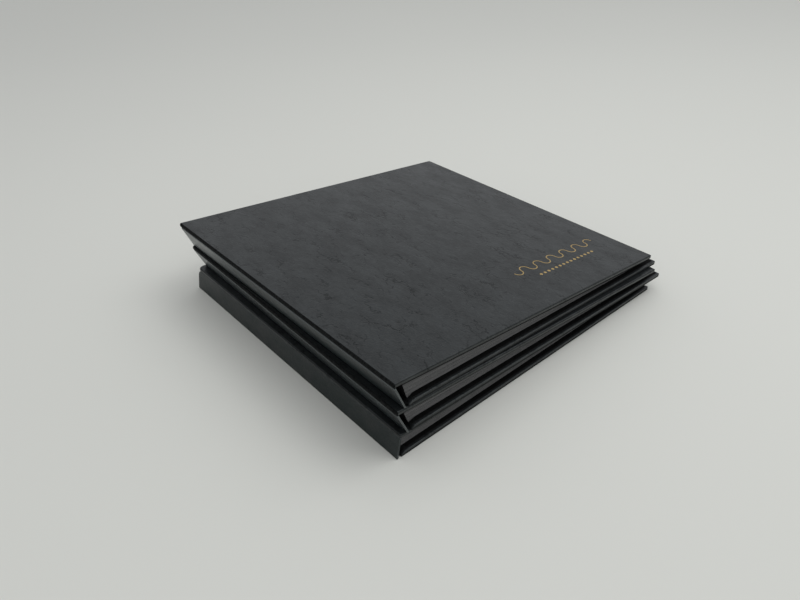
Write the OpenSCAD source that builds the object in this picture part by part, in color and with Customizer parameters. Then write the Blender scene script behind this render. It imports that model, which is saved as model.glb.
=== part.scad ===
// Set of three casebound leatherette stock albums, stacked flat.
// Each volume: two wrapped cover boards, a wrapped spine strip with two flexible joints,
// a fixed endleaf and a fan of leaves that are thick at the stub and thin at the fore-edge.
// +X runs from the spines to the fore-edges, +Y from tail to head, +Z up.

/* [Covers] */
// Width of a cover, from the fold at the spine to the fore-edge
cover_w = 250; // [200:1:300]
// Height of a cover, along the spine
cover_h = 233; // [180:1:280]
// Thickness of the grey board inside a cover
board_t = 2.2; // [1.8:0.1:3]
// Thickness of the leatherette
leatherette_t = 0.4; // [0.3:0.05:0.6]
// Thickness of the paper pastedowns
paper_t = 0.2; // [0.15:0.05:0.3]
// Width of the leatherette that is turned over the inside edges
turn_in = 15; // [10:1:20]
// Distance from a pastedown's edge to the cover's edge
paper_inset = 2; // [1.5:0.1:3.4]
// Rounding of a cover's edges
edge_r = 1.1; // [0.8:0.1:1.3]
// Width of the flexible leatherette between the back fold and the back board
joint_w = 3.2; // [2.8:0.1:5]
// Width of the long rounding of a back cover's inside edge at the spine
back_heel_w = 5.5; // [2:0.1:7]
// Height of that rounding
back_heel_h = 2.5; // [1:0.1:2.7]
// Rounding of a front cover's outside shoulder at the spine
shoulder_r = 0.8; // [0.5:0.1:0.9]
// Distance from a front cover's shoulder to its inside edge
front_heel_x = 2.2; // [2:0.1:4]
// Rounding of that inside edge
front_heel_r = 0.6; // [0.5:0.1:1]
// Depth of the front fold's axis beneath the cover's outside face
front_fold_depth = 2.25; // [1.8:0.05:2.3]

/* [Spines] */
// Radius of the roll of leatherette at each spine fold
roll_r = 0.75; // [0.7:0.05:0.9]
// Thickness of the card strip inside the spine
spine_card_t = 0.6; // [0.5:0.05:0.7]
// Width of the leatherette flap that runs from a fold on to the spine strip
roll_flap = 2.4; // [1.5:0.1:4]
// Running clearance between a fold's roll and the cover's tongue
roll_clear = 0.08; // [0.05:0.01:0.1]

/* [Page blocks] */
// Length of a leaf, from its stub to the fore-edge
leaf_l = 235; // [150:1:236]
// Distance from the leaves' head and tail to the covers' edges
square_w = 3.6; // [2:0.1:6]
// Thickness of the black endleaf that the leaves lie on
endleaf_t = 1.3; // [1:0.1:1.5]
// Distance from the endleaf's edges to the covers' edges
endleaf_inset = 6.5; // [6:0.1:9]
// Air between neighbouring leaves
leaf_gap = 0.08; // [0.05:0.01:0.1]

/* [Bottom volume] */
// How far the front cover's fold lies inward of the back cover's fold
bottom_lean = 2.7; // [0:0.1:3.5]
// Thickness at the spine
bottom_spine_t = 17.5; // [15:0.1:20]
// Thickness at the fore-edge
bottom_fore_t = 10.4; // [10:0.1:12]
// Hollow between the spine strip and the leaves' stubs
bottom_hollow = 1.3; // [1.2:0.1:4]
// How far the lowest leaf's guard hangs into the back fold
bottom_drop = 0; // [0:0.1:1.8]

/* [Middle volume] */
// How far the front cover's fold lies inward of the back cover's fold
middle_lean = -7.5; // [-8:0.1:0]
// Thickness at the spine
middle_spine_t = 19.6; // [17:0.1:22]
// Thickness at the fore-edge
middle_fore_t = 9.8; // [9.8:0.1:12]
// Hollow between the spine strip and the leaves' stubs
middle_hollow = 3.2; // [2:0.1:4.5]
// How far the lowest leaf's guard hangs into the back fold
middle_drop = 1.2; // [0:0.1:1.8]
// Step of its spine fold from the bottom volume's fold, towards the fore-edge
middle_step = 4; // [0:0.1:6]
// Step of its tail edge from the bottom volume's tail edge
middle_slip = -1.2; // [-3:0.1:3]
// Turn on the bottom volume, in degrees
middle_turn = -0.4; // [-1:0.1:1]

/* [Top volume] */
// How far the front cover's fold lies inward of the back cover's fold
top_lean = -8.2; // [-8.5:0.1:0]
// Thickness at the spine
top_spine_t = 20.8; // [18:0.1:23]
// Thickness at the fore-edge
top_fore_t = 10.9; // [9.8:0.1:12]
// Hollow between the spine strip and the leaves' stubs
top_hollow = 4; // [2:0.1:4.5]
// How far the lowest leaf's guard hangs into the back fold
top_drop = 1.8; // [0:0.1:1.8]
// Step of its spine fold from the middle volume's fold, towards the fore-edge
top_step = 5; // [0:0.1:7]
// Step of its tail edge from the middle volume's tail edge
top_slip = -0.2; // [-3:0.1:3]
// Turn on the middle volume, in degrees
top_turn = 1; // [-1:0.1:1]

/* [Foil ornament] */
// Distance from the wave line's right end to the cover's fore-edge
foil_inset = 18; // [10:1:40]
// Distance from the wave line's middle to the tail edge
wave_y = 40.5; // [30:1:60]
// Radius of one arch of the wave line
wave_r = 3.7; // [2:0.1:5]
// Number of arches in the wave line
wave_count = 12; // [6:1:14]
// Distance from the bead line's middle to the tail edge
bead_y = 29.5; // [15:0.5:32]
// Number of beads in the bead line
bead_count = 15; // [7:1:19]
// Radius of a bead
bead_r = 1.1; // [0.6:0.1:1.4]
// Pitch of the beads
bead_pitch = 4.2; // [3.2:0.1:5]
// Width of the foil's lines
foil_w = 0.7; // [0.4:0.1:1]
// Thickness of the foil
foil_t = 0.05; // [0.03:0.01:0.08]

/* [Hidden] */
$fn = 48;
leaf_count = 5;
cover_t = board_t + 2 * leatherette_t;
lined_t = cover_t + paper_t;
tongue_t = 2 * leatherette_t;
rest_gap = 0.1;
arc_steps = 6;
cut = 1;
lining_t = 2 * roll_r - leatherette_t - spine_card_t;
card_setback = 1.6 * roll_r;
front_board_x = 2 * roll_r + roll_clear + leatherette_t;
overhang_t = front_fold_depth - roll_r - roll_clear;
guard_clear = 0.3;

VOLUMES = ["bottom", "middle", "top"];
lean = [bottom_lean, middle_lean, top_lean];
spine_t = [bottom_spine_t, middle_spine_t, top_spine_t];
fore_t = [bottom_fore_t, middle_fore_t, top_fore_t];
hollow = [bottom_hollow, middle_hollow, top_hollow];
guard_drop = [bottom_drop, middle_drop, top_drop];
step_x = [0, middle_step, top_step];
slip_y = [0, middle_slip, top_slip];
turn_z = [0, middle_turn, top_turn];

PIECES = ["back_board", "back_leatherette", "back_pastedown", "endleaf", "back_fold", "spine_card",
          "spine_leatherette", "spine_lining", "front_fold", "front_board", "front_leatherette",
          "front_pastedown", "foil_ornament", "leaf_1", "leaf_2", "leaf_3", "leaf_4", "leaf_5"];

// Angle between a volume's two covers
function wedge(v) = atan((spine_t[v] - fore_t[v]) / cover_w);

// A point of the front cover's own frame, as [x, z] of the volume's frame
function front_point(v, p) = [
    lean[v] + p[0] * cos(wedge(v)) + p[1] * sin(wedge(v)),
    spine_t[v] - p[0] * sin(wedge(v)) + p[1] * cos(wedge(v))
];

// Fold axes, as [x, z] of the volume's frame
back_axis = [roll_r, roll_r];
function front_axis(v) = front_point(v, [roll_r, -front_fold_depth]);
function spine_run(v) = front_axis(v) - back_axis;
function spine_angle(v) = atan2(spine_run(v)[1], spine_run(v)[0]);

// The leaves' stubs lie on a line parallel to the spine strip
function stub_x(v, z) =
    back_axis[0]
    + (roll_r + hollow[v]) / sin(spine_angle(v))
    + (z - back_axis[1]) / tan(spine_angle(v));

// Height of the leaves' lowest face, and of the face under the front cover
leaf_z0 = lined_t + endleaf_t + leaf_gap;
function under_cover(v, x) =
    spine_t[v] - (x - lean[v]) * tan(wedge(v)) - (lined_t + leaf_gap) / cos(wedge(v));
function leaf_z(v, i, x) = leaf_z0 + (under_cover(v, x) - leaf_z0) * i / leaf_count;

// Points of a quarter circle
function arc(centre, r, from) =
    [for (i = [0:arc_steps]) centre + r * [cos(from + 90 * i / arc_steps), sin(from + 90 * i / arc_steps)]];

// Places things in a volume's own frame: on the floor, or on the volume beneath
module in_volume(v) {
    if (v == 0)
        translate([-cover_w / 2, -cover_h / 2, 0]) children();
    else
        in_volume(v - 1)
            translate([lean[v - 1], 0, spine_t[v - 1]])
                rotate([0, wedge(v - 1), 0])
                    translate([step_x[v], slip_y[v], rest_gap])
                        rotate([0, 0, turn_z[v]])
                            children();
}

// Places things in the frame of a volume's back or front cover, with z measured inward
module in_cover(v, front) {
    if (front)
        in_volume(v)
            translate([lean[v], 0, spine_t[v]])
                rotate([0, wedge(v), 0])
                    mirror([0, 0, 1])
                        children();
    else
        in_volume(v) children();
}

// Places things in the spine strip's frame: x from the back fold to the front fold, z outward
module in_spine(v) {
    in_volume(v)
        translate([back_axis[0], 0, back_axis[1]])
            rotate([0, -spine_angle(v), 0])
                children();
}

// Extrudes an outline in x and z along y
module along_y(from, to) {
    translate([0, to, 0]) rotate([90, 0, 0]) linear_extrude(to - from) children();
}

// Outline of a cover in x and z, or of what lies inside it when inset by the leatherette.
// A front cover's shoulder hangs over the fold's roll.
function back_outline(inset) = concat(
    [[joint_w + inset, inset]],
    fore_edge_outline(inset),
    [for (p = arc([0, 0], 1, 90)) [
        joint_w + back_heel_w + p[0] * (back_heel_w - inset),
        cover_t - back_heel_h + p[1] * (back_heel_h - inset)
    ]]
);
function front_outline(inset) = concat(
    [[roll_r, front_fold_depth], [roll_r, overhang_t], [inset, overhang_t]],
    arc([shoulder_r, shoulder_r], shoulder_r - inset, 180),
    fore_edge_outline(inset),
    arc([front_heel_x + front_heel_r, cover_t - front_heel_r], front_heel_r - inset, 90)
);
function fore_edge_outline(inset) = concat(
    arc([cover_w - edge_r, edge_r], edge_r - inset, -90),
    arc([cover_w - edge_r, cover_t - edge_r], edge_r - inset, 0)
);

// A cover's slab with all its edges rounded, or the slab inside it when inset
module cover_slab(front, inset) {
    intersection() {
        along_y(inset, cover_h - inset)
            polygon(front ? front_outline(inset) : back_outline(inset));
        rotate([90, 0, 90])
            linear_extrude(cover_w + cut)
                polygon(concat(
                    arc([edge_r, edge_r], edge_r - inset, 180),
                    arc([cover_h - edge_r, edge_r], edge_r - inset, -90),
                    arc([cover_h - edge_r, cover_t - edge_r], edge_r - inset, 0),
                    arc([edge_r, cover_t - edge_r], edge_r - inset, 90)
                ));
    }
}

// The grey board of a cover; the front one stops short of the fold
module board_slab(front) {
    difference() {
        cover_slab(front, leatherette_t);
        if (front)
            translate([-cut, -cut, -cut])
                cube([front_board_x + cut, cover_h + 2 * cut, cover_t + 2 * cut]);
    }
}

// Where a cover's inside edge begins at the spine
function heel_end(front) = front ? front_heel_x + front_heel_r : joint_w + back_heel_w;

// The part of a cover's inside that the turned-in leatherette leaves open
module turn_in_window(front, z, t) {
    left = heel_end(front) + turn_in / 2;
    translate([left, turn_in, z]) cube([cover_w - turn_in - left, cover_h - 2 * turn_in, t]);
}

// The bore in a cover's edge that a fold's roll turns in
module fold_bore(front) {
    translate([roll_r, -cut, front ? front_fold_depth : roll_r])
        rotate([-90, 0, 0])
            cylinder(r = roll_r + roll_clear, h = cover_h + 2 * cut);
}

module cover_board(v, front) {
    color("#8a8378") in_cover(v, front) board_slab(front);
}

module cover_leatherette(v, front) {
    color("#2b2e30") in_cover(v, front) {
        difference() {
            union() {
                cover_slab(front, 0);
                if (!front)
                    translate([roll_r, 0, 0]) cube([joint_w, cover_h, tongue_t]);
            }
            board_slab(front);
            turn_in_window(front, cover_t - leatherette_t, leatherette_t + cut);
            fold_bore(front);
        }
    }
}

module cover_pastedown(v, front) {
    left = heel_end(front);
    color("#1d1e20") in_cover(v, front) {
        turn_in_window(front, cover_t - leatherette_t, leatherette_t);
        translate([left, paper_inset, cover_t])
            cube([cover_w - paper_inset - left, cover_h - 2 * paper_inset, paper_t]);
    }
}

// Black card glued to the back cover, which the leaves lie on
module endleaf(v) {
    left = heel_end(false) + guard_clear;
    right = stub_x(v, leaf_z0) + leaf_l - endleaf_inset;
    color("#0c0c0d") in_volume(v)
        translate([left, endleaf_inset, lined_t])
            cube([right - left, cover_h - 2 * endleaf_inset, endleaf_t]);
}

// One leaf: its guard makes it thick at the stub, and it is bare card at the fore-edge.
// The lowest leaf's guard hangs into the hollow over the back fold.
module leaf(v, i) {
    low_x = stub_x(v, leaf_z(v, i, 0));
    high_x = stub_x(v, leaf_z(v, i + 1, 0));
    drop_z = leaf_z0 - guard_drop[v];
    color("#4a4845") in_volume(v)
        along_y(square_w, cover_h - square_w)
            polygon([
                if (i == 0) [stub_x(v, drop_z), drop_z],
                if (i == 0) [heel_end(false), leaf_z0],
                if (i > 0) [low_x, leaf_z(v, i, low_x)],
                [low_x + leaf_l, leaf_z(v, i, low_x + leaf_l)],
                [high_x + leaf_l, leaf_z(v, i + 1, high_x + leaf_l) - leaf_gap],
                [high_x, leaf_z(v, i + 1, high_x) - leaf_gap]
            ]);
}

// Leatherette roll at a fold, with a flap that runs on to the spine strip
module fold_roll(v, front) {
    color("#24272a") in_spine(v)
        translate([front ? norm(spine_run(v)) : 0, 0, 0])
            mirror([front ? 1 : 0, 0, 0]) {
                rotate([-90, 0, 0]) cylinder(r = roll_r, h = cover_h);
                translate([0, 0, roll_r - leatherette_t]) cube([roll_flap, cover_h, leatherette_t]);
            }
}

module spine_layer(v, setback, z, t) {
    in_spine(v)
        translate([setback, 0, z])
            cube([norm(spine_run(v)) - 2 * setback, cover_h, t]);
}

module spine_leatherette(v) {
    color("#24272a") spine_layer(v, roll_flap, roll_r - leatherette_t, leatherette_t);
}

module spine_card(v) {
    color("#8a8378") spine_layer(v, card_setback, lining_t - roll_r, spine_card_t);
}

module spine_lining(v) {
    color("#1d1e20") spine_layer(v, card_setback, -roll_r, lining_t);
}

// Foil pressed on a front cover: a line of alternating arches over a line of beads
module foil_ornament(v) {
    wave_right = cover_w - foil_inset;
    bead_mid = wave_right - wave_count * wave_r;
    color("#b59a63") in_cover(v, true)
        translate([0, 0, -foil_t]) linear_extrude(foil_t) {
            for (i = [0:wave_count - 1])
                translate([wave_right - (2 * i + 1) * wave_r, wave_y])
                    difference() {
                        circle(wave_r + foil_w / 2);
                        circle(wave_r - foil_w / 2);
                        translate([-2 * wave_r, i % 2 == 0 ? -2 * wave_r : 0])
                            square([4 * wave_r, 2 * wave_r]);
                    }
            for (i = [0:bead_count - 1])
                translate([bead_mid + (i - (bead_count - 1) / 2) * bead_pitch, bead_y])
                    circle(bead_r);
        }
}

module piece(v, name) {
    if (name == "back_board") cover_board(v, false);
    if (name == "back_leatherette") cover_leatherette(v, false);
    if (name == "back_pastedown") cover_pastedown(v, false);
    if (name == "endleaf") endleaf(v);
    if (name == "back_fold") fold_roll(v, false);
    if (name == "spine_card") spine_card(v);
    if (name == "spine_leatherette") spine_leatherette(v);
    if (name == "spine_lining") spine_lining(v);
    if (name == "front_fold") fold_roll(v, true);
    if (name == "front_board") cover_board(v, true);
    if (name == "front_leatherette") cover_leatherette(v, true);
    if (name == "front_pastedown") cover_pastedown(v, true);
    if (name == "foil_ornament") foil_ornament(v);
    for (i = [0:leaf_count - 1])
        if (name == str("leaf_", i + 1)) leaf(v, i);
}

for (v = [0:len(VOLUMES) - 1])
    for (name = PIECES)
        piece(v, name);
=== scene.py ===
"""Looks of three matching casebound stock albums, stacked flat with their spines together.

Each album is a pair of leatherette-wrapped boards, a wrapped spine strip between two folds, black
papers inside, and a block of black leaves that carry clear pocket strips. Shapes are worked out in
millimetres in each album's own frame and then placed, in metres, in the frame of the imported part.
"""

import logging
import math
import random
from collections.abc import Callable, Iterator, Sequence
from contextlib import contextmanager
from dataclasses import dataclass
from enum import Enum
from functools import partial

import bmesh
import bpy
from mathutils import Matrix, Vector


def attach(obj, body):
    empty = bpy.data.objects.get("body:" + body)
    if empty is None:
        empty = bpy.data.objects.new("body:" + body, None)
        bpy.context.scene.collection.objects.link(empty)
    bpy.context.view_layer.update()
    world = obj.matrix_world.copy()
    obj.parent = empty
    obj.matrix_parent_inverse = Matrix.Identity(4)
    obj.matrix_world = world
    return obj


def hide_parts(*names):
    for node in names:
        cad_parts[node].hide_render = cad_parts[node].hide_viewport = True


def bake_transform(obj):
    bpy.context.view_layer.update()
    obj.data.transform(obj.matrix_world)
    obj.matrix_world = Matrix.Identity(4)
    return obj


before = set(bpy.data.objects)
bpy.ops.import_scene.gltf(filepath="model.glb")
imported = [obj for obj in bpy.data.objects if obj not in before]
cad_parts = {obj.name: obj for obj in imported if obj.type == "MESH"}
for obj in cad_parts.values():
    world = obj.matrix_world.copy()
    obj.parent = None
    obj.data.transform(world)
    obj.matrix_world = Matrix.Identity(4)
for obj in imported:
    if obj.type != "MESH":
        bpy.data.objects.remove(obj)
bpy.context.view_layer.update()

MM = 0.001
NEAR = 1e-4
UP = Vector((0.0, 0.0, 1.0))

Node = bpy.types.Node
Socket = bpy.types.NodeSocket
Piece = bpy.types.Object
Inputs = dict[str | int, object]
Adder = Callable[..., Socket]

log = logging.getLogger("albums")


# ---------------------------------------------------------------- frames and sizes


class Side(Enum):
    """Which cover of an album."""

    BACK = "back"
    FRONT = "front"


class Pick(Enum):
    """What a selection in edit mode is made of."""

    POINTS = 0
    EDGES = 1
    FACES = 2


@dataclass(frozen=True)
class CaseSizes:
    """Sizes that all the albums share, in millimetres.

    Args:
        width: a cover, from the fold to the fore-edge.
        height: a cover, along the spine.
        cover: thickness of a wrapped board.
        lined: the same with its pastedown.
        joint: width of the flexible leatherette beside the back fold.
        heel: distance from the back fold to the flat of the back cover's inside.
        roll: radius of a fold.
        fold_depth: depth of the front fold's axis beneath the cover's face.
        leaf: length of a leaf.
        square: distance from the leaves to the covers' edges.
        endleaf: thickness of the black card beneath the leaves.
        gap: air between neighbouring leaves.
        apart: air between an album and the one beneath.
        leaves: number of leaves.
    """

    width: float = 250.0
    height: float = 233.0
    cover: float = 3.0
    lined: float = 3.2
    joint: float = 3.2
    heel: float = 8.7
    roll: float = 0.75
    fold_depth: float = 2.25
    leaf: float = 235.0
    square: float = 3.6
    endleaf: float = 1.3
    gap: float = 0.08
    apart: float = 0.1
    leaves: int = 5


CASE = CaseSizes()


@dataclass(frozen=True)
class Album:
    """One album's own sizes and its place in the stack, in millimetres and degrees.

    Args:
        name: the album's name, which begins the names of its pieces.
        lean: how far the front fold lies inward of the back fold.
        spine: thickness at the spine.
        fore: thickness at the fore-edge.
        hollow: space between the spine strip and the leaves' stubs.
        step: shift from the album beneath, towards the fore-edge.
        slip: shift from the album beneath, towards the head.
        turn: turn on the album beneath.
        slump: rounding of the head corner beside the front fold, where no board fills the skin.
        drop: how far the lowest leaf's guard hangs into the back fold.
        shoulder: how far the strip's end lies under the front fold, where the cover's wall shows.
        tuck: how far the highest stub lies back from the strip's slope.
        below: the album beneath, if there is one.
    """

    name: str
    lean: float
    spine: float
    fore: float
    hollow: float
    step: float = 0.0
    slip: float = 0.0
    turn: float = 0.0
    slump: float = 0.0
    drop: float = 0.0
    shoulder: float = 0.1
    tuck: float = 0.0
    below: "Album | None" = None

    def wedge(self) -> float:
        """Angle between the two covers, in radians."""
        return math.atan((self.spine - self.fore) / CASE.width)

    def base(self) -> Matrix:
        """The album's frame: its back cover lies on z = 0 with the back fold along x = 0.

        Returns:
            The frame, in the part's frame.
        """
        if self.below is None:
            return Matrix.Translation((-CASE.width / 2, -CASE.height / 2, 0.0))
        step = Matrix.Translation((self.step, self.slip, CASE.apart))
        return self.below.front() @ step @ Matrix.Rotation(math.radians(self.turn), 4, "Z")

    def front(self) -> Matrix:
        """The front cover's frame: its face is z = 0 and outward is +z."""
        fold = Matrix.Translation((self.lean, 0.0, self.spine))
        return self.base() @ fold @ Matrix.Rotation(self.wedge(), 4, "Y")

    def back(self) -> Matrix:
        """The back cover's frame, turned over so that its face is z = 0 and outward is +z."""
        over = Matrix.Translation((0.0, CASE.height, 0.0)) @ Matrix.Rotation(math.pi, 4, "X")
        return self.base() @ over

    def back_axis(self) -> Vector:
        """The back fold's axis, in the album's frame."""
        return Vector((CASE.roll, 0.0, CASE.roll))

    def front_axis(self) -> Vector:
        """The front fold's axis, in the album's frame."""
        return self.base().inverted() @ self.front() @ Vector((CASE.roll, 0.0, -CASE.fold_depth))

    def spine_run(self) -> Vector:
        """The run from the back fold to the front fold, in the album's frame."""
        return self.front_axis() - self.back_axis()

    def spine_angle(self) -> float:
        """The spine strip's slope, in radians: over a right angle, it leans out at the top."""
        run = self.spine_run()
        return math.atan2(run.z, run.x)

    def strip(self) -> Matrix:
        """The spine strip's frame: +x from the back fold to the front fold, +z outward."""
        turn = Matrix.Rotation(-self.spine_angle(), 4, "Y")
        return self.base() @ Matrix.Translation(self.back_axis()) @ turn

    def stub_x(self, z: float) -> float:
        """Where the leaves' stubs begin, at a height in the album's frame.

        Args:
            z: the height.

        Returns:
            Their x.
        """
        angle = self.spine_angle()
        start = CASE.roll + (CASE.roll + self.hollow) / math.sin(angle)
        return start + (z - CASE.roll) / math.tan(angle)

    def leaf_z(self, share: float, x: float) -> float:
        """Height of a level in the page block, from 0 at its foot to 1 under the front cover.

        Args:
            share: the level.
            x: distance from the back fold.

        Returns:
            The height, in the album's frame.
        """
        foot = CASE.lined + CASE.endleaf + CASE.gap
        slope = math.tan(self.wedge())
        drop = (CASE.lined + CASE.gap) / math.cos(self.wedge())
        under = self.spine - (x - self.lean) * slope - drop
        return foot + (under - foot) * share

    def leans(self) -> bool:
        """Whether the strip leans out over the album beneath, and its shoulder shows."""
        return self.lean < 0

    def piece(self, part: str) -> str:
        """Full name of one of the album's pieces, nodes or bodies."""
        return f"{self.name}_{part}"

    def node(self, part: str) -> Piece:
        """One of the album's carried-over nodes."""
        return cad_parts[self.piece(part)]


BOTTOM = Album("bottom", lean=2.7, spine=17.5, fore=10.4, hollow=1.3, slump=3.5)
MIDDLE = Album(
    "middle", -7.5, 19.6, 9.8, 3.2,
    step=4.0, slip=-1.2, turn=-0.4, drop=1.2, shoulder=0.8, tuck=0.8, below=BOTTOM,
)
TOP = Album(
    "top", -8.2, 20.8, 10.9, 4.0,
    step=5.0, slip=-0.2, turn=1.0, slump=1.2, drop=1.8, shoulder=1.3, tuck=1.5, below=MIDDLE,
)


# ---------------------------------------------------------------- finishes


def linear(hex_colour: str) -> tuple[float, float, float, float]:
    """Turns an sRGB hex colour to the linear colour that shaders take.

    Args:
        hex_colour: the colour as "#rrggbb".

    Returns:
        Linear red, green and blue, and an alpha of 1.
    """
    parts = [int(hex_colour[i : i + 2], 16) / 255 for i in (1, 3, 5)]
    lin = [c / 12.92 if c <= 0.04045 else ((c + 0.055) / 1.055) ** 2.4 for c in parts]
    return (*lin, 1.0)


def per(size: float) -> float:
    """Scale of a pattern whose features are a number of millimetres apart."""
    return 1 / (size * MM)


def feed(node: Node, inputs: Inputs) -> None:
    """Gives each of a node's inputs, by name or number, a constant or another node's output.

    Args:
        node: the node.
        inputs: what goes into each.
    """
    for key, value in inputs.items():
        if isinstance(value, Socket):
            node.id_data.links.new(value, node.inputs[key])
        else:
            node.inputs[key].default_value = value


def add_node(
    tree: bpy.types.NodeTree,
    kind: str,
    inputs: Inputs | None = None,
    out: str | int = 0,
    **settings: object,
) -> Socket:
    """Adds a node with its settings and what goes into it.

    Args:
        tree: the material's or world's node tree.
        kind: the node's type, without its "ShaderNode" prefix.
        inputs: what goes into it.
        out: the output that is wanted, by name or number.
        settings: properties of the node itself.

    Returns:
        That output.
    """
    made = tree.nodes.new(f"ShaderNode{kind}")
    for key, value in settings.items():
        setattr(made, key, value)
    feed(made, inputs or {})
    return made.outputs[out]


# Inputs by number: Map Range takes its value at 0, the range it comes from at 1 and 2, and the one
# it goes to at 3 and 4. Mix takes its share at 0, and two numbers at 2 and 3 or colours at 6 and 7.
SMOOTH = {"interpolation_type": "SMOOTHSTEP"}
COLOURS = {"data_type": "RGBA", "out": 2}
TIMES = {"operation": "MULTIPLY"}
TIMES_PLUS = {"operation": "MULTIPLY_ADD"}
LARGER = {"operation": "MAXIMUM"}


@dataclass(frozen=True)
class Finish:
    """A surface finish. Subclasses add its pattern.

    Args:
        name: the material's name.
        colour: its base colour, sRGB hex.
        roughness: its mean roughness.
        ior: index of refraction.
        metallic: 1 for a metal.
        shine: its mean specular level.
    """

    name: str
    colour: str
    roughness: float
    ior: float = 1.5
    metallic: float = 0.0
    shine: float = 0.5

    def material(self) -> bpy.types.Material:
        """Makes the material once and returns it each time after that.

        Returns:
            The material.
        """
        found = bpy.data.materials.get(self.name)
        if found:
            return found
        made = bpy.data.materials.new(self.name)
        made.use_nodes = True
        made.diffuse_color = linear(self.colour)
        add = partial(add_node, made.node_tree)
        even = {
            "Base Color": linear(self.colour),
            "Roughness": self.roughness,
            "IOR": self.ior,
            "Metallic": self.metallic,
            "Specular IOR Level": self.shine,
        }
        shader = made.node_tree.nodes["Principled BSDF"]
        feed(shader, even)
        feed(shader, self.pattern(add, add("TexCoord", out="Object")))
        return made

    def pattern(self, add: Adder, place: Socket) -> Inputs:
        """Adds the finish's own pattern; a bare finish has none.

        Args:
            add: adds a node to the material.
            place: the coordinates.

        Returns:
            What goes into the shader.
        """
        return {}

    def layered(self, add: Adder, *layers: tuple[Socket, str]) -> Socket:
        """The base colour with other colours laid over it, each as far as its share says.

        Args:
            add: adds a node to the material.
            layers: shares and sRGB hex colours, from the lowest.

        Returns:
            The colour that they make.
        """
        base = linear(self.colour)
        for share, colour in layers:
            base = add("Mix", {0: share, 6: base, 7: linear(colour)}, **COLOURS)
        return base

    def dress(self, obj: Piece) -> Piece:
        """Gives an object this finish in its first slot.

        Args:
            obj: the object.

        Returns:
            The object.
        """
        if obj.data.materials:
            obj.data.materials[0] = self.material()
        else:
            obj.data.materials.append(self.material())
        return obj


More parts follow.
